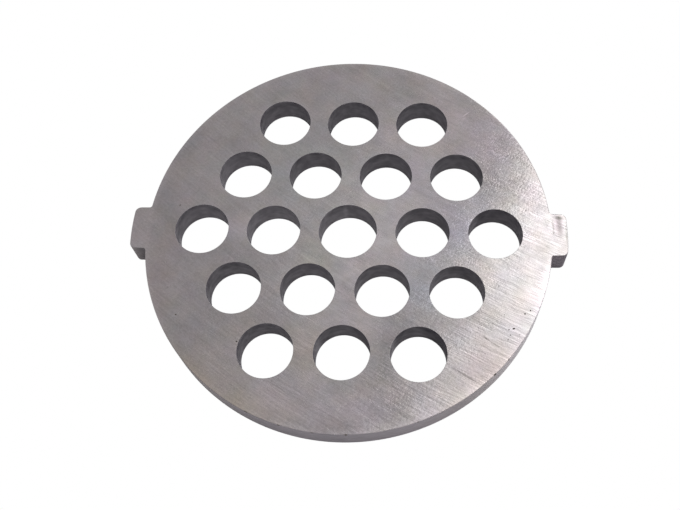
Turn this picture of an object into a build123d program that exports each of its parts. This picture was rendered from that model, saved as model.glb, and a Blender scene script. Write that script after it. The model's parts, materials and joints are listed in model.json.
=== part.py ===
from build123d import *

import math
import os

# Mincing plate of a household electric meat grinder: one flat disc of ground steel,
# pierced by rows of holes and keyed in its barrel by two lugs on the rim.
# The origin is on the axis of the spindle bore, at the face that the plate lies on.
# +Z runs along the bore and +X through the lugs. All sizes are in millimetres.

# Disc
PLATE_THICKNESS = 4.2
RIM_LAND = 4.0
RIM_EDGE_BREAK = 0.2

# Holes
SPINDLE_BORE_DIAMETER = 8.0
HOLE_DIAMETER = 7.4
HOLE_LAND = 2.6
HOLE_EDGE_BREAK = 0.1
HOLES_BESIDE_BORE = 2

# Lugs
LUG_WIDTH = 6.3
LUG_REACH = 2.15
LUG_CORNER_RADIUS = 0.8
LUG_ROOT_RADIUS = 0.4

# Worked out from the sizes above
hole_pitch = HOLE_DIAMETER + HOLE_LAND
row_spacing = hole_pitch * math.sqrt(3) / 2
first_hole_offset = SPINDLE_BORE_DIAMETER / 2 + HOLE_LAND + HOLE_DIAMETER / 2
last_hole_offset = first_hole_offset + (HOLES_BESIDE_BORE - 1) * hole_pitch
plate_radius = last_hole_offset + HOLE_DIAMETER / 2 + RIM_LAND
lug_tip_radius = plate_radius + LUG_REACH
lug_corner_radius = min(LUG_CORNER_RADIUS, LUG_REACH / 2, LUG_WIDTH / 3)
lug_root_radius = min(LUG_ROOT_RADIUS, LUG_REACH / 3)


def middle_row_centres():
    """Holes on both sides of the bore, with the same land beside it as between holes."""
    offsets = [first_hole_offset + step * hole_pitch for step in range(HOLES_BESIDE_BORE)]
    return [(side * offset, 0) for side in (-1, 1) for offset in offsets]


def outer_row_centres():
    """Rows above and below the middle one, each a hole shorter and half a pitch over."""
    centres = []
    middle_count = 2 * HOLES_BESIDE_BORE + 1
    for row in range(1, HOLES_BESIDE_BORE + 1):
        count = middle_count - row
        for column in range(count):
            x = (column - (count - 1) / 2) * hole_pitch
            centres += [(x, row * row_spacing), (x, -row * row_spacing)]
    return centres


def distance_from_axis(vertex):
    """How far a corner of the outline lies from the bore axis."""
    return math.hypot(vertex.X, vertex.Y)


def plate_outline():
    """The disc with a lug at each end of its X axis, corners and roots rounded."""
    lug_strip = Rectangle(2 * lug_tip_radius, LUG_WIDTH) & Circle(lug_tip_radius)
    outline = Circle(plate_radius) + lug_strip
    tip_corners = outline.vertices().group_by(distance_from_axis)[-1]
    outline = fillet(tip_corners, lug_corner_radius)
    root_corners = outline.vertices().group_by(distance_from_axis)[0]
    return fillet(root_corners, lug_root_radius)


def blank():
    """The solid plate before drilling, with its outer edges broken on both faces."""
    solid = extrude(plate_outline(), PLATE_THICKNESS)
    faces = (solid.faces().sort_by(Axis.Z)[-1], solid.faces().sort_by(Axis.Z)[0])
    edges = [edge for face in faces for edge in face.outer_wire().edges()]
    return chamfer(edges, RIM_EDGE_BREAK)


def drill(diameter):
    """A cutter for one hole, flared at both faces to break the hole's edges."""
    radius = diameter / 2
    shaft = Cylinder(radius, PLATE_THICKNESS, align=(Align.CENTER, Align.CENTER, Align.MIN))
    flare = Cone(
        radius,
        radius + HOLE_EDGE_BREAK,
        HOLE_EDGE_BREAK,
        align=(Align.CENTER, Align.CENTER, Align.MIN),
    )
    top_flare = Pos(0, 0, PLATE_THICKNESS - HOLE_EDGE_BREAK) * flare
    bottom_flare = mirror(flare, Plane.XY.offset(HOLE_EDGE_BREAK / 2))
    return shaft + top_flare + bottom_flare


def grinder_plate():
    """The finished plate: the blank, its spindle bore and every mincing hole."""
    cutter = drill(HOLE_DIAMETER)
    centres = middle_row_centres() + outer_row_centres()
    cutters = [drill(SPINDLE_BORE_DIAMETER)]
    cutters += [Pos(x, y, 0) * cutter for x, y in centres]
    return blank() - cutters


os.makedirs("parts", exist_ok=True)
export_step(grinder_plate(), "parts/grinder_plate.step")
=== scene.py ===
"""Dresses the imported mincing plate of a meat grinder: ground steel, drilled holes and two lugs."""

import json
import logging
import math
from dataclasses import dataclass, field
from enum import Enum

import bpy
from mathutils import Matrix, Vector


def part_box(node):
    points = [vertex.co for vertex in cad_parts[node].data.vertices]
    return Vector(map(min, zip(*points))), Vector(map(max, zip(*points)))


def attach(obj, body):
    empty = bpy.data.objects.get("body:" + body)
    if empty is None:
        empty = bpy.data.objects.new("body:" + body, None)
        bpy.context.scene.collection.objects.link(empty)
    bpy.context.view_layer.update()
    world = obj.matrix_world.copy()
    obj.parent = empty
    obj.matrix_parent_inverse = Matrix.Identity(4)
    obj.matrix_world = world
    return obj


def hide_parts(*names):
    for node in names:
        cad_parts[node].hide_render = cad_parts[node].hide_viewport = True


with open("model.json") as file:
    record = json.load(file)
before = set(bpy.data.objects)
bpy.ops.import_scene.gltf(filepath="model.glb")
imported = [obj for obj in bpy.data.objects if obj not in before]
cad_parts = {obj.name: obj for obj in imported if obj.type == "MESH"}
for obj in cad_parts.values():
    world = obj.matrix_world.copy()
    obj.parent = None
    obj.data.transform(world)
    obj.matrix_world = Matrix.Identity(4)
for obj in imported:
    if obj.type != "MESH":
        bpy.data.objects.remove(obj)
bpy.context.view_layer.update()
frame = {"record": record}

PLATE_NODE = "grinder_plate"
LOG = logging.getLogger("mincing_plate")

MM = 0.001
# A half size that takes in everything along its axis, in any unit
FAR = 1000.0
# Points nearer to each other than this are one, in metres
WELD = 1e-6
# An edge that turns by more than this is a corner of the plate
CORNER_ANGLE = math.radians(60)
# The upright share of a normal, under which a face is a wall, a sloping edge or not quite level
WALL_SHARE = 0.5
SLOPE_SHARE = 0.99
LEVEL_SHARE = 0.9999
# Share of its half size over which a stain or scratch with a crisp edge fades
CRISP = 0.7
# A place times this has no height
LEVEL = (1.0, 1.0, 0.0)
WHITE = (1.0, 1.0, 1.0, 1.0)

Point = tuple[float, float]
Triple = tuple[float, float, float]
Colour = tuple[float, float, float, float]
Tree = bpy.types.NodeTree
Socket = bpy.types.NodeSocket
NodeInput = Socket | float | int | bool | str | tuple


def linear(hex_colour: str) -> Colour:
    """Turns an sRGB hex colour into linear light.

    Args:
        hex_colour: Six hex digits after a hash.

    Returns:
        Red, green, blue and an alpha of 1, as shaders take them.
    """
    channels = [int(hex_colour[i:i + 2], 16) / 255 for i in (1, 3, 5)]
    light = [c / 12.92 if c <= 0.04045 else ((c + 0.055) / 1.055) ** 2.4 for c in channels]
    return (*light, 1.0)


def add_node(
    tree: Tree,
    kind: str,
    inputs: dict[str | int, NodeInput] | None = None,
    **settings: object,
) -> bpy.types.Node:
    """Adds a node with its settings, input values and links.

    Args:
        tree: The shader or geometry tree that gets the node.
        kind: Blender's identifier of the node type.
        inputs: Input name or number to a value, or to the output socket that feeds it.
        **settings: Properties of the node itself.

    Returns:
        The new node.
    """
    node = tree.nodes.new(kind)
    for name, value in settings.items():
        setattr(node, name, value)
    for key, value in (inputs or {}).items():
        enabled = [socket for socket in node.inputs if socket.enabled and socket.name == key]
        socket = node.inputs[key] if isinstance(key, int) else enabled[0]
        if isinstance(value, Socket):
            tree.links.new(value, socket)
        else:
            socket.default_value = value
    return node


def result_of(node: bpy.types.Node) -> Socket:
    """The first output of a node that is in use."""
    return next(socket for socket in node.outputs if socket.enabled)


def empty_material(name: str) -> tuple[bpy.types.Material, Tree]:
    """Makes a material with no nodes yet.

    Args:
        name: Name of the real material.

    Returns:
        The material and its shader tree.
    """
    made = bpy.data.materials.new(name)
    made.use_nodes = True
    made.node_tree.nodes.clear()
    return made, made.node_tree


def swing(tree: Tree, middle: float, patterns: list[tuple[Socket, float]]) -> Socket:
    """Lets patterns that lie about a half swing a value about its middle.

    Args:
        tree: The shader tree.
        middle: The value where every pattern is at a half.
        patterns: Each pattern with the weight it counts by.

    Returns:
        The swinging value, as an output socket.
    """
    total: Socket | float = middle - sum(weight for _, weight in patterns) / 2
    for pattern, weight in patterns:
        step = add_node(
            tree, "ShaderNodeMath", {0: pattern, 1: weight, 2: total}, operation="MULTIPLY_ADD"
        )
        total = step.outputs[0]
    return total


def level_reach(tree: Tree, place: Socket) -> Socket:
    """Measures how far a place lies from the upright axis through the plate's middle.

    Args:
        tree: A shader or geometry tree.
        place: The place, in metres.

    Returns:
        The distance, in metres.
    """
    level = add_node(tree, "ShaderNodeVectorMath", {0: place, 1: LEVEL}, operation="MULTIPLY")
    reach = add_node(tree, "ShaderNodeVectorMath", {0: level.outputs[0]}, operation="LENGTH")
    return reach.outputs["Value"]


def bare_metal(
    tree: Tree, tone: Socket, tint: Socket, hexes: tuple[str, str], shine: dict[str, NodeInput]
) -> None:
    """Ends a shader in bare metal, with a colour that its tone picks between two.

    Args:
        tree: The shader tree.
        tone: 0 for the duller colour, 1 for the cleaner one, and past both.
        tint: What red, green and blue are multiplied by.
        hexes: The duller and the cleaner colour.
        shine: The shader's inputs that set how the metal shines.
    """
    duller, cleaner = (linear(hex_colour) for hex_colour in hexes)
    steel = add_node(
        tree,
        "ShaderNodeMix",
        {"Factor": tone, "A": duller, "B": cleaner},
        data_type="RGBA",
        clamp_factor=False,
    )
    colour = add_node(
        tree,
        "ShaderNodeMix",
        {"Factor": 1.0, "A": result_of(steel), "B": tint},
        data_type="RGBA",
        blend_type="MULTIPLY",
    )
    shader = add_node(
        tree, "ShaderNodeBsdfPrincipled", {"Base Color": result_of(colour), "Metallic": 1.0, **shine}
    )
    add_node(tree, "ShaderNodeOutputMaterial", {"Surface": shader.outputs[0]})


class Patch(Enum):
    """The outline of a soft-edged patch."""

    OVAL = "oval"
    PANEL = "panel"


def soft_patch(
    tree: Tree,
    place: Socket,
    shape: Patch,
    centre: Triple,
    half_size: Triple,
    turn_degrees: float,
    softness: float,
) -> Socket:
    """Draws a patch that is 1 inside and fades to 0 at its outline.

    Args:
        tree: The shader tree.
        place: The vector that the patch is drawn in.
        shape: Outline of the patch.
        centre: Middle of the patch, in the vector's units.
        half_size: Half of its size along each axis.
        turn_degrees: Turn about Z.
        softness: Share of the half size over which it fades.

    Returns:
        The patch, from 0 to 1.
    """
    seat = add_node(
        tree,
        "ShaderNodeMapping",
        {
            "Vector": place,
            "Location": centre,
            "Rotation": (0.0, 0.0, math.radians(turn_degrees)),
            "Scale": half_size,
        },
        vector_type="TEXTURE",
    ).outputs[0]
    if shape is Patch.OVAL:
        reach = add_node(tree, "ShaderNodeVectorMath", {0: seat}, operation="LENGTH").outputs["Value"]
    else:
        sides = add_node(tree, "ShaderNodeVectorMath", {0: seat}, operation="ABSOLUTE")
        axes = add_node(tree, "ShaderNodeSeparateXYZ", {0: sides.outputs[0]}).outputs
        larger = add_node(tree, "ShaderNodeMath", {0: axes["X"], 1: axes["Y"]}, operation="MAXIMUM")
        reach = larger.outputs[0]
    fade = add_node(
        tree,
        "ShaderNodeMapRange",
        {"Value": reach, "From Min": 1.0, "From Max": 1.0 - softness},
        interpolation_type="SMOOTHSTEP",
    )
    return result_of(fade)


class Wall(Enum):
    """The surfaces of the plate that are made in different ways."""

    GROUND_FACE = "Ground Face"
    DRILLED_HOLE = "Drilled Hole"
    BLANKED_RIM = "Blanked Rim"
    PIT = "Pit"


@dataclass(frozen=True)
class Oval:
    """A place on the plate, seen from above: an oval with a soft edge.

    Attributes:
        centre_mm: Its middle.
        length_mm: Its size in the direction of its turn.
        width_mm: Its size across that.
        turn_degrees: Direction of its length, from +X.
        softness: Share of its half size over which it fades.
    """

    centre_mm: Point
    length_mm: float
    width_mm: float
    turn_degrees: float = 0.0
    softness: float = 1.0

    @classmethod
    def line(cls, start: Point, end: Point, width_mm: float) -> "Oval":
        """A narrow oval between two points, with a crisp edge.

        Args:
            start: One end.
            end: The other end.
            width_mm: Its width.

        Returns:
            The oval.
        """
        run = (end[0] - start[0], end[1] - start[1])
        middle = ((start[0] + end[0]) / 2, (start[1] + end[1]) / 2)
        turn = math.degrees(math.atan2(run[1], run[0]))
        return cls(middle, math.hypot(*run), width_mm, turn, CRISP)

    def socket(self, tree: Tree, place: Socket, height_range_mm: Point = (0.0, FAR)) -> Socket:
        """Draws the oval.

        Args:
            tree: The shader tree.
            place: Place on the plate, in metres.
            height_range_mm: Middle and half of the heights that it reaches over.

        Returns:
            1 inside, fading to 0 at its outline.
        """
        middle, reach = (value * MM for value in height_range_mm)
        centre = (self.centre_mm[0] * MM, self.centre_mm[1] * MM, middle)
        half_size = (self.length_mm * MM / 2, self.width_mm * MM / 2, reach)
        return soft_patch(tree, place, Patch.OVAL, centre, half_size, self.turn_degrees, self.softness)


@dataclass(frozen=True)
class Mark:
    """A cloud, stain, scratch, or patch of painted light or shade, which shows in the tone of the steel.

    Attributes:
        oval: Where it is.
        strength: How far it lightens the steel, or darkens it where negative.
    """

    oval: Oval
    strength: float

    def add_to(
        self, tree: Tree, place: Socket, tone: Socket, height_range_mm: Point = (0.0, FAR)
    ) -> Socket:
        """Adds the mark to a tone.

        Args:
            tree: The shader tree.
            place: Place on the plate, in metres.
            tone: The tone without it.
            height_range_mm: Middle and half of the heights that it reaches over.

        Returns:
            The tone with it.
        """
        share = self.oval.socket(tree, place, height_range_mm)
        step = add_node(
            tree, "ShaderNodeMath", {0: share, 1: self.strength, 2: tone}, operation="MULTIPLY_ADD"
        )
        return step.outputs[0]


@dataclass(frozen=True)
class TintPatch:
    """A patch of the steel with a faint colour: one that oil and air have left, and also the tint of
    painted light and shade.

    Attributes:
        oval: Where it is.
        rise: How far red, green and blue each rise there, as a share.
    """

    oval: Oval
    rise: Triple

    def add_to(self, tree: Tree, place: Socket, tint: Socket) -> Socket:
        """Adds the patch to a tint.

        Args:
            tree: The shader tree.
            place: Place on the plate, in metres.
            tint: The tint without it.

        Returns:
            The tint with it.
        """
        share = self.oval.socket(tree, place)
        step = add_node(
            tree, "ShaderNodeVectorMath", {0: share, 1: self.rise, 2: tint}, operation="MULTIPLY_ADD"
        )
        return step.outputs[0]


@dataclass(frozen=True)
class Pit:
    """A small hollow in the surface, cut as half of an ellipsoid.

    Attributes:
        centre_mm: Middle of the hollow.
        length_mm: Its size in the direction of its turn.
        width_mm: Its size across that.
        depth_mm: Its depth.
        turn_degrees: Direction of its length, from +X.
    """

    centre_mm: Point
    length_mm: float
    width_mm: float
    depth_mm: float
    turn_degrees: float = 0.0


@dataclass(frozen=True)
class GrindingRings:
    """The rings that the grinding wheel leaves across the plate.

    Attributes:
        centre_mm: Middle of the rings, in the plane of the face.
    """

    centre_mm: Point = (106.0, 170.0)

    def sockets(self, tree: Tree, place: Socket) -> tuple[Socket, Socket, Socket]:
        """Turns a place on the plate into ring coordinates.

        Args:
            tree: The shader tree.
            place: Place on the plate, in metres.

        Returns:
            Distance from the rings' middle, distance along the ring, and the outward direction.
        """
        middle = (self.centre_mm[0] * MM, self.centre_mm[1] * MM, 0.0)
        offset = add_node(tree, "ShaderNodeVectorMath", {0: place, 1: middle}, operation="SUBTRACT")
        flat = add_node(
            tree, "ShaderNodeVectorMath", {0: offset.outputs[0], 1: LEVEL}, operation="MULTIPLY"
        ).outputs[0]
        across = add_node(tree, "ShaderNodeVectorMath", {0: flat}, operation="LENGTH").outputs["Value"]
        outward = add_node(tree, "ShaderNodeVectorMath", {0: flat}, operation="NORMALIZE").outputs[0]
        axes = add_node(tree, "ShaderNodeSeparateXYZ", {0: flat}).outputs
        angle = add_node(tree, "ShaderNodeMath", {0: axes["X"], 1: axes["Y"]}, operation="ARCTAN2")
        radius = math.hypot(*middle)
        along = add_node(tree, "ShaderNodeMath", {0: angle.outputs[0], 1: radius}, operation="MULTIPLY")
        return across, along.outputs[0], outward


@dataclass(frozen=True)
class Streaks:
    """Streaks of one size that run along a direction.

    Attributes:
        width_mm: Spacing across the streaks.
        length_mm: Length along them.
        layer: A number that sets this pattern apart from the others.
        detail: Octaves of finer streaks inside.
        fineness: Strength of each octave, as a share of the one before.
    """

    width_mm: float
    length_mm: float
    layer: float
    detail: float = 1.0
    fineness: float = 0.8

    def socket(self, tree: Tree, across: Socket, along: Socket) -> Socket:
        """Adds the streaks to a shader.

        Args:
            tree: The shader tree.
            across: Distance across the streaks, in metres.
            along: Distance along the streaks, in metres.

        Returns:
            The pattern, from 0 to 1 about a half.
        """
        seat = add_node(tree, "ShaderNodeCombineXYZ", {0: across, 1: along, 2: self.layer})
        scale = (1 / (self.width_mm * MM), 1 / (self.length_mm * MM), 1.0)
        spread = add_node(
            tree, "ShaderNodeVectorMath", {0: seat.outputs[0], 1: scale}, operation="MULTIPLY"
        )
        noise = add_node(
            tree,
            "ShaderNodeTexNoise",
            {
                "Vector": spread.outputs[0],
                "Scale": 1.0,
                "Detail": self.detail,
                "Roughness": self.fineness,
            },
        )
        return noise.outputs[0]


@dataclass(frozen=True)
class GroundSteelFinish:
    """Tool steel, surface ground: fine curved lines, which stretch each highlight across themselves.

    Attributes:
        marks: Clouds, stains and scratches of the upper face, and painted highlights near the rim.
        tints: Broad patches of faint colour.
        rings: Layout of the grinding lines.
        dashes: Short cuts of single grits.
        lines: Longer cuts.
        long_lines: Lines that run across the plate.
        bundles: Bundles of cuts that are deeper or shallower than the rest.
        bundle_depth: How far their depth swings, as a share.
        polish: Small places that are rubbed smoother or rougher.
        polish_weight: How much those places spread the highlight.
        dash_roughness: How much the dashes spread the highlight.
        mottle_mm: Size of the faint lighter and darker patches.
        mottle_tone: How much those patches show.
        film_mm: Size of the faint warm and cool patches.
        film: How far red, green and blue each swing in those patches, as a share.
        patch_detail: Octaves of finer patches inside both.
        patch_fineness: Strength of each octave, as a share of the one before.
        light_hex: Colour of cleaner steel.
        dark_hex: Colour of duller steel.
        tone_weights: How much the dashes, lines and long lines show as tone.
        depths_mm: How deep the dashes, lines and long lines are.
        roughness: Spread of the highlight.
        anisotropy: How much further it spreads across the lines than along them.
        edge_highlight_mm: How far in from the rim the face is painted brighter, as a painted highlight
            along the rim's edge.
        edge_highlight_tone: How much brighter that painted highlight is at the rim.
        mark_reach_mm: How far from the upper face its marks reach, so that the underside has none.
    """

    marks: tuple[Mark, ...] = ()
    tints: tuple[TintPatch, ...] = ()
    rings: GrindingRings = GrindingRings()
    # A grit cuts a line of some 0.03 mm, too fine for the render, so dashes and lines are drawn coarser
    dashes: Streaks = Streaks(width_mm=0.3, length_mm=0.4, layer=5.1)
    lines: Streaks = Streaks(width_mm=0.36, length_mm=3.0, layer=1.3, fineness=1.0)
    long_lines: Streaks = Streaks(width_mm=0.8, length_mm=22.0, layer=17.6, detail=2.0)
    bundles: Streaks = Streaks(width_mm=2.5, length_mm=4.0, layer=3.4)
    bundle_depth: float = 2.6
    polish: Streaks = Streaks(width_mm=1.2, length_mm=2.0, layer=9.4)
    polish_weight: float = 0.16
    dash_roughness: float = 0.12
    mottle_mm: float = 5.0
    mottle_tone: float = 1.9
    film_mm: float = 4.0
    film: Triple = (0.16, 0.0, 0.2)
    patch_detail: float = 2.0
    patch_fineness: float = 0.7
    light_hex: str = "#d4ccce"
    dark_hex: str = "#c0b9ba"
    tone_weights: Triple = (1.5, 0.68, 1.1)
    depths_mm: Triple = (0.0055, 0.0157, 0.0157)
    roughness: float = 0.226
    anisotropy: float = 0.94
    # A painted highlight: the face is painted brighter along the rim's edge
    edge_highlight_mm: float = 0.9
    edge_highlight_tone: float = 0.45
    mark_reach_mm: float = 1.0

    def painted_edge_highlight(self, tree: Tree, place: Socket, plate_radius: float) -> Socket:
        """Paints a highlight on the face towards the rim, brightest at its edge.

        Args:
            tree: The shader tree.
            place: Place on the plate, in metres.
            plate_radius: Radius of the rim, in millimetres.

        Returns:
            What the painted edge highlight adds to the tone.
        """
        edge_highlight = add_node(
            tree,
            "ShaderNodeMapRange",
            {
                "Value": level_reach(tree, place),
                "From Min": (plate_radius - self.edge_highlight_mm) * MM,
                "From Max": plate_radius * MM,
                "To Max": self.edge_highlight_tone,
            },
            interpolation_type="SMOOTHSTEP",
        )
        return result_of(edge_highlight)

    def material(self, plate_radius: float, face_height: float) -> bpy.types.Material:
        """Builds the shader.

        Args:
            plate_radius: Radius of the rim, in millimetres.
            face_height: Height of the upper face, in millimetres.

        Returns:
            The material for both faces of the plate.
        """
        made, tree = empty_material("surface_ground_steel")
        place = add_node(tree, "ShaderNodeTexCoord").outputs["Object"]
        across, along, outward = self.rings.sockets(tree, place)
        cuts = [kind.socket(tree, across, along) for kind in (self.dashes, self.lines, self.long_lines)]
        fineness = {"Detail": self.patch_detail, "Roughness": self.patch_fineness}
        mottle, film = (
            add_node(
                tree, "ShaderNodeTexNoise", {"Vector": place, "Scale": 1 / (size * MM), **fineness}
            ).outputs
            for size in (self.mottle_mm, self.film_mm)
        )
        least = tuple(1 - share / 2 for share in self.film)
        tint = add_node(
            tree,
            "ShaderNodeVectorMath",
            {0: film["Color"], 1: self.film, 2: least},
            operation="MULTIPLY_ADD",
        ).outputs[0]
        for patch in self.tints:
            tint = patch.add_to(tree, place, tint)
        tone = swing(tree, 0.5, [*zip(cuts, self.tone_weights), (mottle[0], self.mottle_tone)])
        for mark in self.marks:
            tone = mark.add_to(tree, place, tone, (face_height, self.mark_reach_mm))
        # Painted highlight along the rim's edge
        edge_highlight = self.painted_edge_highlight(tree, place, plate_radius)
        tone = add_node(tree, "ShaderNodeMath", {0: tone, 1: edge_highlight}, operation="ADD").outputs[0]
        relief = swing(tree, 0.0, list(zip(cuts, self.depths_mm)))
        bundles = self.bundles.socket(tree, across, along)
        depth = swing(tree, 1.0, [(bundles, self.bundle_depth)])
        height_mm = add_node(tree, "ShaderNodeMath", {0: relief, 1: depth}, operation="MULTIPLY")
        bump = add_node(tree, "ShaderNodeBump", {"Height": height_mm.outputs[0], "Distance": MM})
        polish = self.polish.socket(tree, across, along)
        spreads = [(cuts[0], self.dash_roughness), (polish, self.polish_weight)]
        shine = {
            "Roughness": swing(tree, self.roughness, spreads),
            "Anisotropic": self.anisotropy,
            "Tangent": outward,
            "Normal": bump.outputs[0],
        }
        bare_metal(tree, tone, tint, (self.dark_hex, self.light_hex), shine)
        return made


@dataclass(frozen=True)
class CutSteelFinish:
    """Steel that no wheel has ground: duller than the faces, with faint lines round the wall.

    Attributes:
        name: Name of the material.
        light_hex: Colour of the cleaner metal.
        dark_hex: Colour of the duller metal.
        roughness: Spread of the highlight.
        marks: Where the walls are painted lighter or darker, for painted light and shade and for duller
            places.
        tints: Where the walls have another tint.
        line_around_mm: Size of a line round the wall.
        line_up_mm: Its size up the wall.
        line_tone: How much the lines show as tone.
        line_depth_mm: Depth of the lines.
        line_roughness: How much they spread the highlight.
        line_detail: Octaves of finer lines inside.
        stain_mm: How far down from the upper face the wall is stained.
        stain_tone: How much the stain darkens it.
    """

    name: str
    light_hex: str
    dark_hex: str
    roughness: float
    marks: tuple[Mark, ...] = ()
    tints: tuple[TintPatch, ...] = ()
    # A cutting edge leaves lines of some 0.05 mm, too fine for the render, so they are drawn coarser
    line_around_mm: float = 2.5
    line_up_mm: float = 0.3
    line_tone: float = 1.0
    line_depth_mm: float = 0.01
    line_roughness: float = 0.2
    line_detail: float = 2.0
    stain_mm: float = 1.0
    stain_tone: float = 0.0

    def material(self, face_height: float) -> bpy.types.Material:
        """Builds the shader.

        Args:
            face_height: Height of the upper face, in millimetres.

        Returns:
            The material for a wall of the plate.
        """
        made, tree = empty_material(self.name)
        place = add_node(tree, "ShaderNodeTexCoord").outputs["Object"]
        around = 1 / (self.line_around_mm * MM)
        scale = (around, around, 1 / (self.line_up_mm * MM))
        spread = add_node(tree, "ShaderNodeVectorMath", {0: place, 1: scale}, operation="MULTIPLY")
        lines = add_node(
            tree,
            "ShaderNodeTexNoise",
            {"Vector": spread.outputs[0], "Scale": 1.0, "Detail": self.line_detail},
        ).outputs[0]
        tone = swing(tree, 0.5, [(lines, self.line_tone)])
        for mark in self.marks:
            tone = mark.add_to(tree, place, tone)
        stain = Mark(Oval((0.0, 0.0), FAR, FAR), -self.stain_tone)
        tone = stain.add_to(tree, place, tone, (face_height, self.stain_mm))
        tint = add_node(tree, "ShaderNodeCombineXYZ", {0: 1.0, 1: 1.0, 2: 1.0}).outputs[0]
        for patch in self.tints:
            tint = patch.add_to(tree, place, tint)
        bump = add_node(tree, "ShaderNodeBump", {"Height": lines, "Distance": self.line_depth_mm * MM})
        shine = {
            "Roughness": swing(tree, self.roughness, [(lines, self.line_roughness)]),
            "Normal": bump.outputs[0],
        }
        bare_metal(tree, tone, tint, (self.dark_hex, self.light_hex), shine)
        return made


@dataclass
class MincingPlate:
    """The plate, with its sizes in millimetres.

    Attributes:
        thickness: Distance between the two faces.
        plate_radius: Radius of the round rim.
        lug_tip_radius: Distance of the lugs' ends from the middle.
        bore_radius: Radius of the spindle bore.
        hole_centres: Middles of the mincing holes.
        hole_radius: Radius of a mincing hole.
        lug_width: Width of a lug.
        lug_corner_radius: Rounding of a lug's outer corners.
        lug_root_radius: Rounding where a lug leaves the rim.
        rim_edge_round: Rounding of the rim's edges.
        hole_edge_round: Rounding of the holes' edges.
        arc_step: Length of a straight step along a round edge.
        least_arc_steps: Fewest steps of an arc.
        edge_steps: Steps across a rounded edge.
        pit_roundness: How often the ball that cuts a pit is subdivided.
        finishes: The material of each kind of surface.
        pits: Hollows in the upper face and its edge.
    """

    thickness: float
    plate_radius: float
    lug_tip_radius: float
    bore_radius: float
    hole_centres: list[Point]
    # The frame doesn't hold the next four, so they repeat the solid's sizes
    hole_radius: float = 3.7
    lug_width: float = 6.3
    lug_corner_radius: float = 0.8
    lug_root_radius: float = 0.4
    # Edges of a ground face are nearly sharp, finer than the solid's own breaks
    rim_edge_round: float = 0.1
    hole_edge_round: float = 0.03
    arc_step: float = 0.22
    least_arc_steps: int = 4
    edge_steps: int = 3
    pit_roundness: int = 2
    finishes: dict[Wall, bpy.types.Material] = field(default_factory=dict)
    pits: tuple[Pit, ...] = ()

    @classmethod
    def from_frame(cls) -> "MincingPlate":
        """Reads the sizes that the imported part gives.

        Returns:
            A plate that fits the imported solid.
        """
        low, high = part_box(PLATE_NODE)
        record = frame["record"]
        bore = next(m for m in record["mounts"] if m["name"] == "spindle_bore")
        boxes = [opening["box_m"] for opening in record["physics"]["openings"]]
        return cls(
            thickness=(high.z - low.z) / MM,
            plate_radius=high.y / MM,
            lug_tip_radius=high.x / MM,
            bore_radius=bore["dims"]["r_mm"],
            hole_centres=[tuple((a + b) / 2 / MM for a, b in zip(*box))[:2] for box in boxes],
        )

    def arc(self, centre: Point, radius: float, start: float, end: float) -> list[Point]:
        """Points along an arc, without its last one.

        Args:
            centre: Middle of the arc.
            radius: Radius of the arc.
            start: First angle, in radians.
            end: Last angle, in radians; less than start for a clockwise arc.

        Returns:
            Points that begin at the start angle.
        """
        steps = max(self.least_arc_steps, round(abs(end - start) * radius / self.arc_step))
        angles = [start + (end - start) * step / steps for step in range(steps)]
        return [(centre[0] + radius * math.cos(a), centre[1] + radius * math.sin(a)) for a in angles]

    def outline(self) -> list[Point]:
        """Points round the plate and its lugs, anticlockwise.

        Returns:
            A closed loop, without the first point repeated.
        """
        half = self.lug_width / 2
        corner = self.lug_corner_radius
        corner_y = half - corner
        corner_x = math.sqrt((self.lug_tip_radius - corner) ** 2 - corner_y**2)
        corner_angle = math.atan2(corner_y, corner_x)
        root = self.lug_root_radius
        root_y = half + root
        root_x = math.sqrt((self.plate_radius + root) ** 2 - root_y**2)
        root_angle = math.atan2(root_y, root_x)
        quarter = math.pi / 2
        middle = (0.0, 0.0)
        points: list[Point] = []
        for turn in (0.0, math.pi):
            flip = math.cos(turn)
            lower_root = (flip * root_x, -flip * root_y)
            lower_corner = (flip * corner_x, -flip * corner_y)
            upper_corner = (flip * corner_x, flip * corner_y)
            upper_root = (flip * root_x, flip * root_y)
            points += self.arc(lower_root, root, turn + math.pi - root_angle, turn + quarter)
            points += self.arc(lower_corner, corner, turn - quarter, turn - corner_angle)
            points += self.arc(middle, self.lug_tip_radius, turn - corner_angle, turn + corner_angle)
            points += self.arc(upper_corner, corner, turn + corner_angle, turn + quarter)
            points += self.arc(upper_root, root, turn - quarter, turn - math.pi + root_angle)
            points += self.arc(middle, self.plate_radius, turn + root_angle, turn + math.pi - root_angle)
        return points

    def layout_mesh(self) -> bpy.types.Mesh:
        """Draws the outline as a loop of edges, and each hole as a loose point with its radius.

        Returns:
            The flat layout that the geometry tree turns into the plate.
        """
        loop = self.outline()
        holes = [(*centre, self.hole_radius) for centre in self.hole_centres]
        holes.append((0.0, 0.0, self.bore_radius))
        points = [(x * MM, y * MM, 0.0) for x, y, *_ in [*loop, *holes]]
        edges = [(i, (i + 1) % len(loop)) for i in range(len(loop))]
        mesh = bpy.data.meshes.new("plate_layout")
        mesh.from_pydata(points, edges, [])
        radii = [0.0] * len(loop) + [hole[2] * MM for hole in holes]
        attribute = mesh.attributes.new("hole_radius", "FLOAT", "POINT")
        attribute.data.foreach_set("value", radii)
        return mesh

    @staticmethod
    def new_tree(name: str, inputs: dict[str, str]) -> tuple[Tree, bpy.types.NodeOutputs]:
        """Starts a geometry tree that gives out a plate.

        Args:
            name: Name of the tree.
            inputs: Name of each input, with the kind of its socket.

        Returns:
            The tree, and its inputs by name.
        """
        tree = bpy.data.node_groups.new(name, "GeometryNodeTree")
        for label, kind in inputs.items():
            tree.interface.new_socket(label, in_out="INPUT", socket_type=f"NodeSocket{kind}")
        tree.interface.new_socket("Plate", in_out="OUTPUT", socket_type="NodeSocketGeometry")
        return tree, add_node(tree, "NodeGroupInput").outputs

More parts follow.
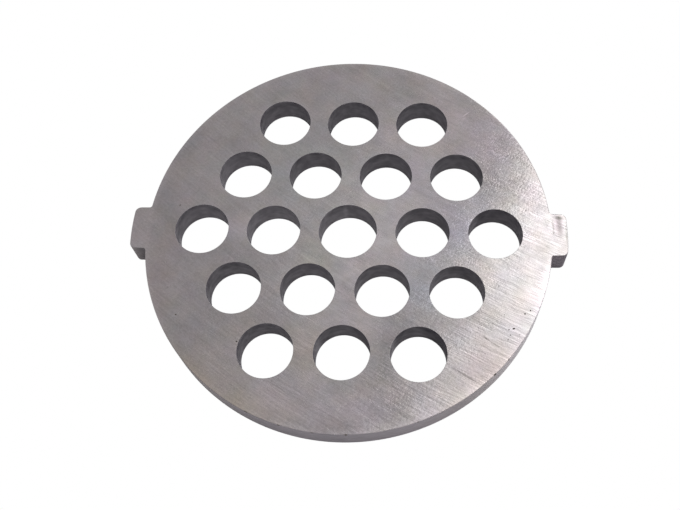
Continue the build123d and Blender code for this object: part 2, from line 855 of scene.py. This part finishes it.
    @staticmethod
    def end_tree(
        tree: Tree, given: bpy.types.NodeOutputs, plate: Socket, walls: dict[Wall, Socket | bool]
    ) -> Tree:
        """Ends a geometry tree by giving each kind of surface its finish.

        Args:
            tree: The geometry tree.
            given: The tree's inputs by name, the finishes among them.
            plate: The plate's shape.
            walls: Which faces are of each kind, where a later kind goes over an earlier one.

        Returns:
            The finished tree.
        """
        plate = add_node(tree, "GeometryNodeRealizeInstances", {"Geometry": plate}).outputs[0]
        for wall, chosen in walls.items():
            plate = add_node(
                tree,
                "GeometryNodeSetMaterial",
                {"Geometry": plate, "Selection": chosen, "Material": given[wall.value]},
            ).outputs[0]
        add_node(tree, "NodeGroupOutput", {0: plate})
        return tree

    @staticmethod
    def outside(tree: Tree, radius: Socket) -> Socket:
        """Tells what lies further from the middle than a radius.

        Args:
            tree: The geometry tree.
            radius: The radius, in metres.

        Returns:
            True for what lies outside.
        """
        reach = level_reach(tree, add_node(tree, "GeometryNodeInputPosition").outputs[0])
        test = add_node(tree, "FunctionNodeCompare", {"A": reach, "B": radius}, operation="GREATER_THAN")
        return test.outputs["Result"]

    @staticmethod
    def steep(tree: Tree, flattest: float) -> Socket:
        """Tells which faces aren't level.

        Args:
            tree: The geometry tree.
            flattest: The largest upright share of a normal that still counts as steep.

        Returns:
            True for walls and slopes.
        """
        normal = add_node(tree, "GeometryNodeInputNormal").outputs[0]
        upright = add_node(tree, "ShaderNodeSeparateXYZ", {0: normal}).outputs["Z"]
        size = add_node(tree, "ShaderNodeMath", {0: upright}, operation="ABSOLUTE").outputs[0]
        test = add_node(tree, "FunctionNodeCompare", {"A": size, "B": flattest}, operation="LESS_THAN")
        return test.outputs["Result"]

    def perforation_tree(self) -> Tree:
        """Builds the tree that pierces the outline and gives it its thickness.

        Returns:
            A geometry tree with named inputs for its sizes and finishes.
        """
        inputs = {
            "Layout": "Geometry",
            "Thickness": "Float",
            "Hole Sides": "Int",
            "Hole Field Radius": "Float",
            "Hole Edge Share": "Float",
            Wall.GROUND_FACE.value: "Material",
            Wall.DRILLED_HOLE.value: "Material",
            Wall.BLANKED_RIM.value: "Material",
        }
        tree, given = self.new_tree("pierced_plate", inputs)
        radius = add_node(
            tree, "GeometryNodeInputNamedAttribute", {"Name": "hole_radius"}, data_type="FLOAT"
        ).outputs["Attribute"]
        is_hole = add_node(
            tree, "FunctionNodeCompare", {"A": radius, "B": 0.0}, operation="GREATER_THAN"
        )
        rim = add_node(tree, "GeometryNodeMeshToCurve", {"Mesh": given["Layout"]})
        middles = add_node(
            tree,
            "GeometryNodeMeshToPoints",
            {"Mesh": given["Layout"], "Selection": is_hole.outputs["Result"]},
        )
        ring = add_node(
            tree, "GeometryNodeCurvePrimitiveCircle", {"Resolution": given["Hole Sides"], "Radius": 1.0}
        )
        rings = add_node(
            tree,
            "GeometryNodeInstanceOnPoints",
            {"Points": middles.outputs[0], "Instance": ring.outputs["Curve"], "Scale": radius},
        )
        loose = add_node(tree, "GeometryNodeRealizeInstances", {"Geometry": rings.outputs[0]})
        loops = add_node(tree, "GeometryNodeJoinGeometry")
        tree.links.new(loose.outputs[0], loops.inputs[0])
        tree.links.new(rim.outputs[0], loops.inputs[0])
        sheet = add_node(tree, "GeometryNodeFillCurve", {"Curve": loops.outputs[0]}, mode="NGONS")
        raised = add_node(
            tree,
            "GeometryNodeExtrudeMesh",
            {
                "Mesh": sheet.outputs[0],
                "Offset": (0.0, 0.0, 1.0),
                "Offset Scale": given["Thickness"],
                "Individual": False,
            },
            mode="FACES",
        )
        underside = add_node(tree, "GeometryNodeFlipFaces", {"Mesh": sheet.outputs[0]})
        shell = add_node(tree, "GeometryNodeJoinGeometry")
        tree.links.new(underside.outputs[0], shell.inputs[0])
        tree.links.new(raised.outputs["Mesh"], shell.inputs[0])
        closed = add_node(
            tree, "GeometryNodeMergeByDistance", {"Geometry": shell.outputs[0], "Distance": WELD}
        )
        outside = self.outside(tree, given["Hole Field Radius"])
        angle = add_node(tree, "GeometryNodeInputMeshEdgeAngle").outputs["Unsigned Angle"]
        corner = add_node(
            tree, "FunctionNodeCompare", {"A": angle, "B": CORNER_ANGLE}, operation="GREATER_THAN"
        ).outputs["Result"]
        share = add_node(
            tree,
            "GeometryNodeSwitch",
            {"Switch": outside, "False": given["Hole Edge Share"], "True": 1.0},
            input_type="FLOAT",
        )
        marked = add_node(
            tree,
            "GeometryNodeStoreNamedAttribute",
            {
                "Geometry": closed.outputs[0],
                "Selection": corner,
                "Name": "bevel_weight_edge",
                "Value": share.outputs[0],
            },
            data_type="FLOAT",
            domain="EDGE",
        )
        is_wall = self.steep(tree, WALL_SHARE)
        is_rim = add_node(tree, "FunctionNodeBooleanMath", {0: is_wall, 1: outside}, operation="AND")
        walls = {
            Wall.GROUND_FACE: True,
            Wall.DRILLED_HOLE: is_wall,
            Wall.BLANKED_RIM: is_rim.outputs[0],
        }
        return self.end_tree(tree, given, marked.outputs[0], walls)

    def pit_points(self) -> bpy.types.Object:
        """Marks the middle of each pit with a point that carries its size and turn.

        Returns:
            An object of loose points, outside the scene.
        """
        mesh = bpy.data.meshes.new("pit_points")
        middles = [(*pit.centre_mm, self.thickness) for pit in self.pits]
        mesh.from_pydata([[value * MM for value in middle] for middle in middles], [], [])
        turns = mesh.attributes.new("pit_turn", "FLOAT", "POINT")
        turns.data.foreach_set("value", [math.radians(pit.turn_degrees) for pit in self.pits])
        sizes = mesh.attributes.new("pit_size", "FLOAT_VECTOR", "POINT")
        for i, pit in enumerate(self.pits):
            sizes.data[i].vector = (pit.length_mm * MM / 2, pit.width_mm * MM / 2, pit.depth_mm * MM)
        return bpy.data.objects.new("pit_points", mesh)

    def pitting_tree(self) -> Tree:
        """Builds the tree that sinks the pits into the plate and dulls the edges of its holes.

        Returns:
            A geometry tree with named inputs for the pits, their roundness and the finishes.
        """
        inputs = {
            "Plate": "Geometry",
            "Pit Points": "Object",
            "Pit Roundness": "Int",
            "Hole Field Radius": "Float",
            Wall.DRILLED_HOLE.value: "Material",
            Wall.PIT.value: "Material",
        }
        tree, given = self.new_tree("pitted_plate", inputs)
        points = add_node(tree, "GeometryNodeObjectInfo", {"Object": given["Pit Points"]})
        size = add_node(
            tree, "GeometryNodeInputNamedAttribute", {"Name": "pit_size"}, data_type="FLOAT_VECTOR"
        )
        turn = add_node(tree, "GeometryNodeInputNamedAttribute", {"Name": "pit_turn"}, data_type="FLOAT")
        euler = add_node(tree, "ShaderNodeCombineXYZ", {2: result_of(turn)})
        rotation = add_node(tree, "FunctionNodeEulerToRotation", {0: euler.outputs[0]})
        ball = add_node(
            tree, "GeometryNodeMeshIcoSphere", {"Radius": 1.0, "Subdivisions": given["Pit Roundness"]}
        )
        balls = add_node(
            tree,
            "GeometryNodeInstanceOnPoints",
            {
                "Points": points.outputs["Geometry"],
                "Instance": ball.outputs["Mesh"],
                "Rotation": rotation.outputs[0],
                "Scale": result_of(size),
            },
        )
        loose = add_node(tree, "GeometryNodeRealizeInstances", {"Geometry": balls.outputs[0]})
        cutters = add_node(
            tree,
            "GeometryNodeStoreNamedAttribute",
            {"Geometry": loose.outputs[0], "Name": "in_pit", "Value": True},
            data_type="BOOLEAN",
            domain="FACE",
        )
        pitted = add_node(
            tree,
            "GeometryNodeMeshBoolean",
            {"Mesh 1": given["Plate"], "Mesh 2": cutters.outputs[0]},
            operation="DIFFERENCE",
            solver="EXACT",
        )
        in_pit = add_node(
            tree, "GeometryNodeInputNamedAttribute", {"Name": "in_pit"}, data_type="BOOLEAN"
        )
        outside = self.outside(tree, given["Hole Field Radius"])
        inside = add_node(tree, "FunctionNodeBooleanMath", {0: outside}, operation="NOT").outputs[0]
        slopes = self.steep(tree, SLOPE_SHARE)
        is_edge = add_node(tree, "FunctionNodeBooleanMath", {0: slopes, 1: inside}, operation="AND")
        walls = {Wall.DRILLED_HOLE: is_edge.outputs[0], Wall.PIT: result_of(in_pit)}
        return self.end_tree(tree, given, pitted.outputs["Mesh"], walls)

    @staticmethod
    def add_tree(piece: bpy.types.Object, tree: Tree, values: dict[str, object]) -> None:
        """Gives a piece a geometry tree, with its inputs set by their identifiers.

        Args:
            piece: The object that gets the modifier.
            tree: The geometry tree.
            values: Input name to value.
        """
        modifier = piece.modifiers.new(tree.name, "NODES")
        modifier.node_group = tree
        for item in tree.interface.items_tree:
            if item.in_out == "INPUT" and item.name in values:
                modifier[item.identifier] = values[item.name]

    def build(self) -> bpy.types.Object:
        """Makes the plate as one plain mesh in place of its solid.

        Returns:
            The finished piece, riding on the part's body.
        """
        plate = bpy.data.objects.new("steel_plate", self.layout_mesh())
        bpy.context.scene.collection.objects.link(plate)
        materials = {wall.value: material for wall, material in self.finishes.items()}
        last_hole_reach = max(abs(x) for x, _ in self.hole_centres) + self.hole_radius
        sizes = {
            "Thickness": self.thickness * MM,
            "Hole Sides": round(math.tau * self.hole_radius / self.arc_step),
            "Hole Field Radius": (self.plate_radius + last_hole_reach) / 2 * MM,
            "Hole Edge Share": self.hole_edge_round / self.rim_edge_round,
        }
        self.add_tree(plate, self.perforation_tree(), sizes | materials)
        soften = plate.modifiers.new("soften", "BEVEL")
        soften.limit_method = "WEIGHT"
        soften.width = self.rim_edge_round * MM
        soften.segments = self.edge_steps
        soften.use_clamp_overlap = False
        points = self.pit_points()
        pit_inputs = {"Pit Points": points, "Pit Roundness": self.pit_roundness}
        self.add_tree(plate, self.pitting_tree(), sizes | pit_inputs | materials)
        self.bake_modifiers(plate)
        bpy.data.objects.remove(points)
        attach(plate, "root")
        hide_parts(PLATE_NODE)
        return plate

    @staticmethod
    def bake_modifiers(piece: bpy.types.Object) -> None:
        """Turns a piece's modifiers into plain mesh, with flat faces shaded flat and walls smooth.

        Args:
            piece: The object whose mesh is replaced.
        """
        graph = bpy.context.evaluated_depsgraph_get()
        mesh = bpy.data.meshes.new_from_object(piece.evaluated_get(graph))
        piece.modifiers.clear()
        piece.data = mesh
        # The layout's empty slot goes, so that each slot that is left holds a finish
        mesh.materials.pop(index=0)
        smooth = [abs(face.normal.z) < LEVEL_SHARE for face in mesh.polygons]
        mesh.polygons.foreach_set("use_smooth", smooth)


@dataclass(frozen=True)
class PhotoCamera:
    """The camera of the photograph, placed by its own eye, aim and frame.

    Attributes:
        eye_mm: Where the camera stands.
        aim_mm: The point on the upper face that its axis meets.
        roll_degrees: Turn of the picture about that axis.
        lens_mm: Focal length.
        sensor_mm: Width of the sensor.
        near_mm: Nearest distance that it sees.
        shift: How far the frame was cropped off the axis, in picture widths.
    """

    eye_mm: Triple = (9.200, -54.572, 121.361)
    aim_mm: Triple = (3.442, 5.496, 4.2)
    roll_degrees: float = -3.952
    lens_mm: float = 49.67
    sensor_mm: float = 36.0
    near_mm: float = 5.0
    shift: Point = (-0.05007, -0.08677)

    def build(self) -> bpy.types.Object:
        """Makes the camera and gives it to the scene.

        Returns:
            The camera object.
        """
        data = bpy.data.cameras.new("photo_camera")
        data.lens = self.lens_mm
        data.sensor_width = self.sensor_mm
        data.shift_x, data.shift_y = self.shift
        data.clip_start = self.near_mm * MM
        eye = Vector(self.eye_mm) * MM
        look = Vector(self.aim_mm) * MM - eye
        turn = look.to_track_quat("-Z", "Y").to_matrix()
        roll = Matrix.Rotation(math.radians(self.roll_degrees), 3, "Z")
        camera = bpy.data.objects.new("photo_camera", data)
        camera.matrix_world = Matrix.Translation(eye) @ (turn @ roll).to_4x4()
        bpy.context.scene.collection.objects.link(camera)
        bpy.context.scene.camera = camera
        return camera


@dataclass(frozen=True)
class LightPanel:
    """A soft panel of light, far enough away to be only a direction.

    Attributes:
        shape: Outline of the panel.
        direction: X and Y of the unit vector towards its middle.
        half_size: Half of its size, in the same measure.
        turn_degrees: Turn about Z.
        softness: Share of the half size over which it fades.
        radiance: Its brightness in the middle.
        tint_hex: Its colour.
    """

    shape: Patch
    direction: Point
    half_size: Point
    turn_degrees: float
    softness: float
    radiance: float
    tint_hex: str = "#ffffff"


@dataclass(frozen=True)
class Studio:
    """A plain pale floor in a softly lit room.

    Attributes:
        floor_size_mm: Side of the square floor.
        floor_gap_mm: Gap that keeps the floor clear of the plate.
        bounce: Share of the light that the floor throws back at the plate.
        room: Brightness of the room overhead.
        room_slope: How the brightness rises towards +X and +Y.
        panels: The panels of light in the room.
    """

    floor_size_mm: float = 4000.0
    floor_gap_mm: float = 0.02
    bounce: float = 0.8
    room: float = 0.392
    room_slope: Point = (0.194, 0.111)
    # A tall window for the glare on the right, a lamp behind, and two broad dim screens at the sides
    panels: tuple[LightPanel, ...] = (
        LightPanel(Patch.PANEL, (0.247, 0.590), (0.087, 0.411), -29.6, 0.85, 3.04, "#fcfffc"),
        LightPanel(Patch.OVAL, (-0.060, 0.398), (0.1, 0.1), 0.0, 1.0, 0.82),
        LightPanel(Patch.OVAL, (0.80, 0.38), (0.45, 0.6), 0.0, 1.0, 1.2),
        LightPanel(Patch.OVAL, (-0.85, 0.10), (0.3, 0.45), 0.0, 1.0, 0.4),
    )

    def floor(self) -> None:
        """Lays the floor, plain white to the eye and a pale bounce for the plate."""
        half = self.floor_size_mm * MM / 2
        mesh = bpy.data.meshes.new("floor")
        corners = [(-half, -half, 0), (half, -half, 0), (half, half, 0), (-half, half, 0)]
        mesh.from_pydata(corners, [], [(0, 1, 2, 3)])
        floor = bpy.data.objects.new("floor", mesh)
        floor.location.z = -self.floor_gap_mm * MM
        bpy.context.scene.collection.objects.link(floor)
        # White paper, smooth and matt: plain white to the eye, and a soft even bounce for the plate
        made, tree = empty_material("white_paper")
        seen = add_node(tree, "ShaderNodeLightPath").outputs["Is Camera Ray"]
        white = add_node(tree, "ShaderNodeEmission", {"Color": WHITE, "Strength": 1.0})
        paper = add_node(tree, "ShaderNodeBsdfDiffuse", {"Color": (*[self.bounce] * 3, 1.0)})
        mix = add_node(tree, "ShaderNodeMixShader", {0: seen, 1: paper.outputs[0], 2: white.outputs[0]})
        add_node(tree, "ShaderNodeOutputMaterial", {"Surface": mix.outputs[0]})
        mesh.materials.append(made)

    def surroundings(self) -> None:
        """Fills the room with soft light, with the panels in it."""
        world = bpy.data.worlds.new("studio")
        world.use_nodes = True
        bpy.context.scene.world = world
        tree = world.node_tree
        tree.nodes.clear()
        direction = add_node(tree, "ShaderNodeTexCoord").outputs["Generated"]
        uphill = (*self.room_slope, 0.0)
        slope = add_node(
            tree, "ShaderNodeVectorMath", {0: direction, 1: uphill}, operation="DOT_PRODUCT"
        ).outputs["Value"]
        level = add_node(tree, "ShaderNodeMath", {0: slope, 1: self.room}, operation="ADD").outputs[0]
        light = add_node(tree, "ShaderNodeMath", {0: level, 1: 0.0}, operation="MAXIMUM").outputs[0]
        for panel in self.panels:
            patch = soft_patch(
                tree,
                direction,
                panel.shape,
                (*panel.direction, 0.0),
                (*panel.half_size, FAR),
                panel.turn_degrees,
                panel.softness,
            )
            colour = tuple(channel * panel.radiance for channel in linear(panel.tint_hex)[:3])
            light = add_node(
                tree, "ShaderNodeVectorMath", {0: patch, 1: colour, 2: light}, operation="MULTIPLY_ADD"
            ).outputs[0]
        seen = add_node(tree, "ShaderNodeLightPath").outputs["Is Camera Ray"]
        sky = add_node(tree, "ShaderNodeMix", {"Factor": seen, "A": light, "B": WHITE}, data_type="RGBA")
        glow = add_node(tree, "ShaderNodeBackground", {"Color": result_of(sky), "Strength": 1.0})
        add_node(tree, "ShaderNodeOutputWorld", {"Surface": glow.outputs[0]})

    def build(self) -> None:
        """Makes the floor and the light."""
        bpy.context.scene.view_settings.view_transform = "Standard"
        self.floor()
        self.surroundings()


def face_marks_and_painted_highlights() -> tuple[Mark, ...]:
    """Uneven tone, stains and scratches that grinding and use have left on the upper face, and painted
    highlights along the right and lower right of the rim.

    Returns:
        The marks, with the broad ones first.
    """
    clouds = (
        Mark(Oval((-1.0, 4.0), 40.0, 34.0), 0.28),
        Mark(Oval((-11.0, 6.0), 26.0, 20.0), 0.5),
        Mark(Oval((-11.0, 17.5), 14.0, 9.0), 0.85),
        Mark(Oval((-17.0, 23.0), 8.0, 5.0, 50.0), -0.35),
        Mark(Oval((-23.0, 17.0), 10.0, 6.0, 55.0), -0.25),
        Mark(Oval((0.0, 6.0), 7.0, 4.5), -0.4),
        Mark(Oval((-25.0, 6.0), 34.0, 8.0, 90.0), -0.2),
        Mark(Oval((-15.0, 0.0), 13.0, 7.0), 0.72),
        Mark(Oval((-9.0, -24.0), 13.0, 6.0, -15.0), 0.4),
        Mark(Oval((-9.0, -12.5), 13.0, 7.0), -0.35),
        Mark(Oval((7.0, 1.0), 20.0, 14.0, 90.0), 0.5),
        Mark(Oval((11.0, -15.0), 20.0, 9.0, 35.0), -0.9),
        Mark(Oval((6.0, -16.5), 15.0, 8.0, 80.0), -0.75),
        Mark(Oval((12.5, -23.5), 9.0, 6.0, 20.0), 0.45),
        Mark(Oval((6.5, -24.5), 8.0, 6.0), -0.4),
        Mark(Oval((-4.0, -24.0), 10.0, 6.0), 0.2),
        Mark(Oval((18.0, -12.5), 9.0, 8.0), -0.4),
        Mark(Oval((18.5, -17.5), 11.0, 7.0, 45.0), -0.45),
        # Painted highlight along the rim's edge at the lower right, in the next mark
        Mark(Oval((17.0, -22.3), 7.0, 4.0, 35.0), 1.05),
        Mark(Oval((23.5, -16.5), 7.0, 4.0, 55.0), -0.4),
        Mark(Oval((12.5, -3.5), 9.0, 9.0), 0.3),
        Mark(Oval((6.5, -11.5), 6.0, 5.0), -0.3),
        Mark(Oval((7.5, 22.5), 14.0, 11.0, -15.0), -0.42),
        Mark(Oval((20.5, 8.0), 16.0, 12.0, 90.0), -0.65),
        # Painted highlight in the next two marks: the glare, spreading over the face at the right of the
        # rim
        Mark(Oval((26.3, -8.5), 10.0, 4.0, 70.0), 0.6),
        Mark(Oval((27.2, -6.6), 9.0, 3.0, 76.0), 1.2),
        Mark(Oval((29.5, -0.3), 5.0, 9.0), -0.8),
        # Painted highlights in the next two marks: lines along the rim's edge at the lower right
        Mark(Oval((23.9, -13.8), 15.0, 2.4, 60.0), 0.5),
        Mark(Oval((13.8, -23.9), 13.0, 2.4, 30.0), 0.35),
        Mark(Oval((27.1, 6.3), 9.0, 3.4, 103.0), -0.5),
    )
    stains = (
        Mark(Oval((29.0, 2.6), 2.2, 0.95, -8.0, 0.9), -2.1),
        Mark(Oval((29.05, 1.4), 4.6, 1.3, -88.0, 0.9), -1.9),
        Mark(Oval((28.2, 1.3), 2.6, 0.36, -88.0, CRISP), -1.3),
        Mark(Oval((28.2, 0.2), 0.5, 0.3, -88.0, CRISP), -1.8),
        Mark(Oval.line((29.9, 2.4), (29.97, -2.3), 0.26), -1.4),
        Mark(Oval((-28.0, -4.0), 2.0, 0.6, 90.0, CRISP), -1.4),
        Mark(Oval((-24.0, -8.9), 0.8, 0.5, 40.0, CRISP), -0.5),
        Mark(Oval((-20.2, -6.8), 1.2, 0.9, 0.0, CRISP), -0.35),
    )
    scratches = (
        Mark(Oval.line((18.1, -14.5), (19.3, -15.45), 0.42), -1.7),
        Mark(Oval.line((18.8, -15.2), (20.9, -16.4), 0.3), -1.6),
        Mark(Oval.line((14.0, -18.8), (18.0, -21.2), 0.34), -1.6),
        Mark(Oval.line((15.6, -13.0), (17.7, -14.4), 0.4), 0.9),
        Mark(Oval.line((22.1, -9.4), (23.7, -10.3), 0.25), 1.0),
        Mark(Oval.line((23.9, 6.25), (25.8, 5.0), 0.25), 1.0),
        Mark(Oval.line((19.1, 8.6), (21.9, 7.25), 0.2), 0.8),
        Mark(Oval((21.2, 10.1), 0.35, 0.3, 0.0, CRISP), 1.6),
        Mark(Oval((20.75, 10.05), 0.3, 0.25, 0.0, CRISP), 1.2),
        Mark(Oval((16.4, 19.15), 1.7, 0.25, 40.0, CRISP), 1.7),
    )
    return (*clouds, *stains, *scratches)


def face_tarnish() -> tuple[TintPatch, ...]:
    """Faint colours that oil and air have left on the faces.

    Returns:
        The patches.
    """
    return (
        TintPatch(Oval((-6.0, 9.0), 28.0, 22.0), (-0.06, 0.0, -0.01)),
        TintPatch(Oval((-16.0, 0.0), 11.0, 6.0), (0.01, 0.0, 0.04)),
        TintPatch(Oval((-4.5, -4.5), 13.0, 14.0), (-0.04, 0.0, -0.055)),
        TintPatch(Oval((-25.0, -6.0), 40.0, 12.0, 90.0), (0.03, 0.0, 0.0)),
        TintPatch(Oval((-17.5, -22.5), 30.0, 11.0, -38.0), (0.055, 0.0, -0.11)),
        TintPatch(Oval((-4.5, -16.5), 12.0, 10.0), (0.04, 0.0, -0.065)),
        TintPatch(Oval((-8.5, -24.5), 15.0, 8.0, -15.0), (0.03, 0.0, -0.035)),
        TintPatch(Oval((1.0, -25.0), 26.0, 9.0), (0.025, 0.0, 0.05)),
        TintPatch(Oval((11.0, -8.0), 16.0, 13.0), (-0.06, 0.0, 0.05)),
        TintPatch(Oval((15.0, 1.0), 18.0, 13.0, 30.0), (-0.03, 0.0, 0.09)),
        TintPatch(Oval((7.0, 8.5), 18.0, 12.0), (0.0, 0.0, 0.065)),
        TintPatch(Oval((19.0, 14.0), 20.0, 16.0, 120.0), (0.03, 0.0, 0.05)),
        TintPatch(Oval((12.5, 19.5), 11.0, 10.0), (0.045, 0.0, 0.0)),
        TintPatch(Oval((25.5, 6.0), 10.0, 6.0, 90.0), (0.03, 0.0, 0.04)),
        TintPatch(Oval((18.5, -20.5), 22.0, 11.0, 42.0), (0.055, 0.0, -0.02)),
        TintPatch(Oval((29.0, 1.6), 4.6, 2.4, -88.0), (0.07, 0.0, 0.05)),
    )


def bore_tone_and_painted_light() -> tuple[Mark, ...]:
    """Tone of the walls of the holes: broad lighter and darker places, with painted light on the walls
    of the holes to the left, on the left walls of single holes and on the back of the spindle bore.

    Returns:
        The marks, with the broad ones first.
    """
    return (
        # The first two marks paint the holes to the left and in the middle lighter, as light that falls
        # on them; the next three darken broadly
        Mark(Oval((-11.0, 1.0), 48.0, 18.0), 0.4),
        Mark(Oval((-18.0, 8.0), 14.0, 12.0), 0.5),
        Mark(Oval((5.0, -17.3), 44.0, 9.0), -0.7),
        Mark(Oval((2.0, 17.3), 40.0, 9.0), -0.2),
        Mark(Oval((18.0, 4.5), 20.0, 20.0), -0.45),
        # A painted reflection on the back of the spindle bore, then painted light from the right on the
        # left walls of single holes, with two broad darker places among them
        Mark(Oval((-0.6, 4.0), 1.1, 1.1), 0.55),
        Mark(Oval((1.5, -7.7), 2.6, 3.6), 0.5),
        Mark(Oval((-3.5, -16.1), 2.6, 3.6), 1.3),
        Mark(Oval((6.5, -16.1), 2.6, 3.6), 1.5),
        Mark(Oval((12.0, -14.5), 6.0, 6.0), -0.6),
        Mark(Oval((16.5, -5.8), 6.0, 5.0), -0.4),
        Mark(Oval((17.3, 2.1), 2.6, 3.4), 1.0),
        Mark(Oval((6.9, 1.2), 2.4, 3.0), 0.5),
        Mark(Oval((11.8, -6.9), 2.4, 3.0), 0.5),
    )


def rim_marks_and_painted_light() -> tuple[Mark, ...]:
    """Uneven tone of the rim, with a painted highlight on its right front and painted shade on the lugs'
    fronts.

    Returns:
        The marks.
    """
    return (
        # Painted highlight: the right front of the rim, painted bright as if lit from the right
        Mark(Oval((25.4, -11.8), 40.0, 14.0, 65.0), 2.2),
        Mark(Oval((11.5, -25.5), 20.0, 8.0, 25.0), 0.15),
        Mark(Oval((0.0, -28.0), 9.0, 6.0), -0.25),
        Mark(Oval((-18.6, -21.0), 11.0, 8.0, -40.0), 0.4),
        # Painted shade on the fronts of the right and the left lug, in the next two marks
        Mark(Oval((29.2, -3.2), 4.0, 2.0, 0.0, 0.5), -3.05),
        Mark(Oval((-28.1, -3.2), 4.0, 2.0, 0.0, 0.9), -1.6),
    )


def rim_tints_and_painted_light() -> tuple[TintPatch, ...]:
    """Faint colours of the rim: the front, the painted highlight on its right front, and the painted
    shade on the lug beside it.

    Returns:
        The patches.
    """
    return (
        TintPatch(Oval((0.0, -26.0), 56.0, 16.0, 0.0, 0.8), (-0.005, 0.0, 0.062)),
        # The tint of the painted highlight on the rim's right front
        TintPatch(Oval((25.4, -11.8), 46.0, 16.0, 65.0), (-0.035, 0.0, 0.04)),
        # The tint of the painted shade on the right lug's front
        TintPatch(Oval((29.2, -3.2), 4.0, 2.0, 0.0, 0.5), (0.055, 0.0, 0.027)),
    )


def plate_pits(plate_radius: float) -> tuple[Pit, ...]:
    """Pores in the upper face, and nicks in its rim.

    Args:
        plate_radius: Radius of the rim, in millimetres.

    Returns:
        The pits.
    """
    pores = (
        Pit((23.85, -11.55), 0.24, 0.2, 0.08, 20.0),
        Pit((24.60, -11.07), 0.26, 0.14, 0.06, 70.0),
        Pit((22.34, -13.62), 0.36, 0.24, 0.1, 10.0),
        Pit((21.70, -13.76), 0.2, 0.17, 0.06),
        Pit((21.88, -14.47), 0.17, 0.14, 0.05),
        Pit((21.54, -15.12), 0.16, 0.14, 0.05),
        Pit((21.15, -11.73), 0.12, 0.1, 0.04),
        Pit((23.06, -14.42), 0.13, 0.12, 0.04),
        Pit((-22.33, -12.68), 0.26, 0.2, 0.08),
        Pit((-23.83, 3.55), 0.28, 0.16, 0.08, 60.0),
        Pit((-13.82, -16.20), 0.26, 0.22, 0.1),
    )
    nicks = []
    wider_than_deep = 0.06
    # Azimuth, length and depth
    deep = ((-87.8, 0.4, 0.24), (-45.1, 0.4, 0.24), (-39.6, 0.24, 0.24))
    shallow = ((-114.8, 0.6, 0.1), (-105.5, 0.5, 0.1), (-96.5, 0.5, 0.08), (-69.0, 0.35, 0.07))
    for azimuth, length, depth in (*deep, *shallow):
        angle = math.radians(azimuth)
        centre = (plate_radius * math.cos(angle), plate_radius * math.sin(angle))
        nicks.append(Pit(centre, length, depth + wider_than_deep, depth, azimuth + 90.0))
    return (*pores, *nicks)


def main() -> None:
    """Builds the plate, the camera and the studio."""
    logging.basicConfig(level=logging.INFO, format="%(name)s: %(message)s")
    plate = MincingPlate.from_frame()
    # Tool steel, surface ground on a wide wheel: fine curved lines, which stretch the light across them
    ground = GroundSteelFinish(face_marks_and_painted_highlights(), face_tarnish())
    # Tool steel, drilled: a dull cool wall with soft rings, dirtier towards the upper face
    drilled = CutSteelFinish(
        name="drilled_steel",
        light_hex="#cdc9ce",
        dark_hex="#a5a1a7",
        roughness=0.62,
        # Its marks are broad tone and painted light on the walls of the holes
        marks=bore_tone_and_painted_light(),
        line_around_mm=1.4,
        line_up_mm=0.9,
        line_tone=2.2,
        stain_mm=3.0,
        stain_tone=0.6,
    )
    # Tool steel, blanked: a dull rim with lines round it, with a painted highlight on its right front
    # and painted shade on the lugs' fronts
    blanked = CutSteelFinish(
        name="blanked_steel",
        light_hex="#d9d1d2",
        dark_hex="#c2bbbd",
        roughness=0.65,
        marks=rim_marks_and_painted_light(),
        tints=rim_tints_and_painted_light(),
        line_tone=1.8,
    )
    # Iron oxide, grown in pores and nicks: brown and dull, so that they show as dark specks
    oxide = CutSteelFinish(
        name="oxide_in_pits", light_hex="#9a928d", dark_hex="#7d7570", roughness=0.6
    )
    plate.finishes = {
        Wall.GROUND_FACE: ground.material(plate.plate_radius, plate.thickness),
        Wall.DRILLED_HOLE: drilled.material(plate.thickness),
        Wall.BLANKED_RIM: blanked.material(plate.thickness),
        Wall.PIT: oxide.material(plate.thickness),
    }
    plate.pits = plate_pits(plate.plate_radius)
    piece = plate.build()
    LOG.info("%s: %d faces", piece.name, len(piece.data.polygons))
    PhotoCamera().build()
    Studio().build()


if __name__ == "__main__":
    main()
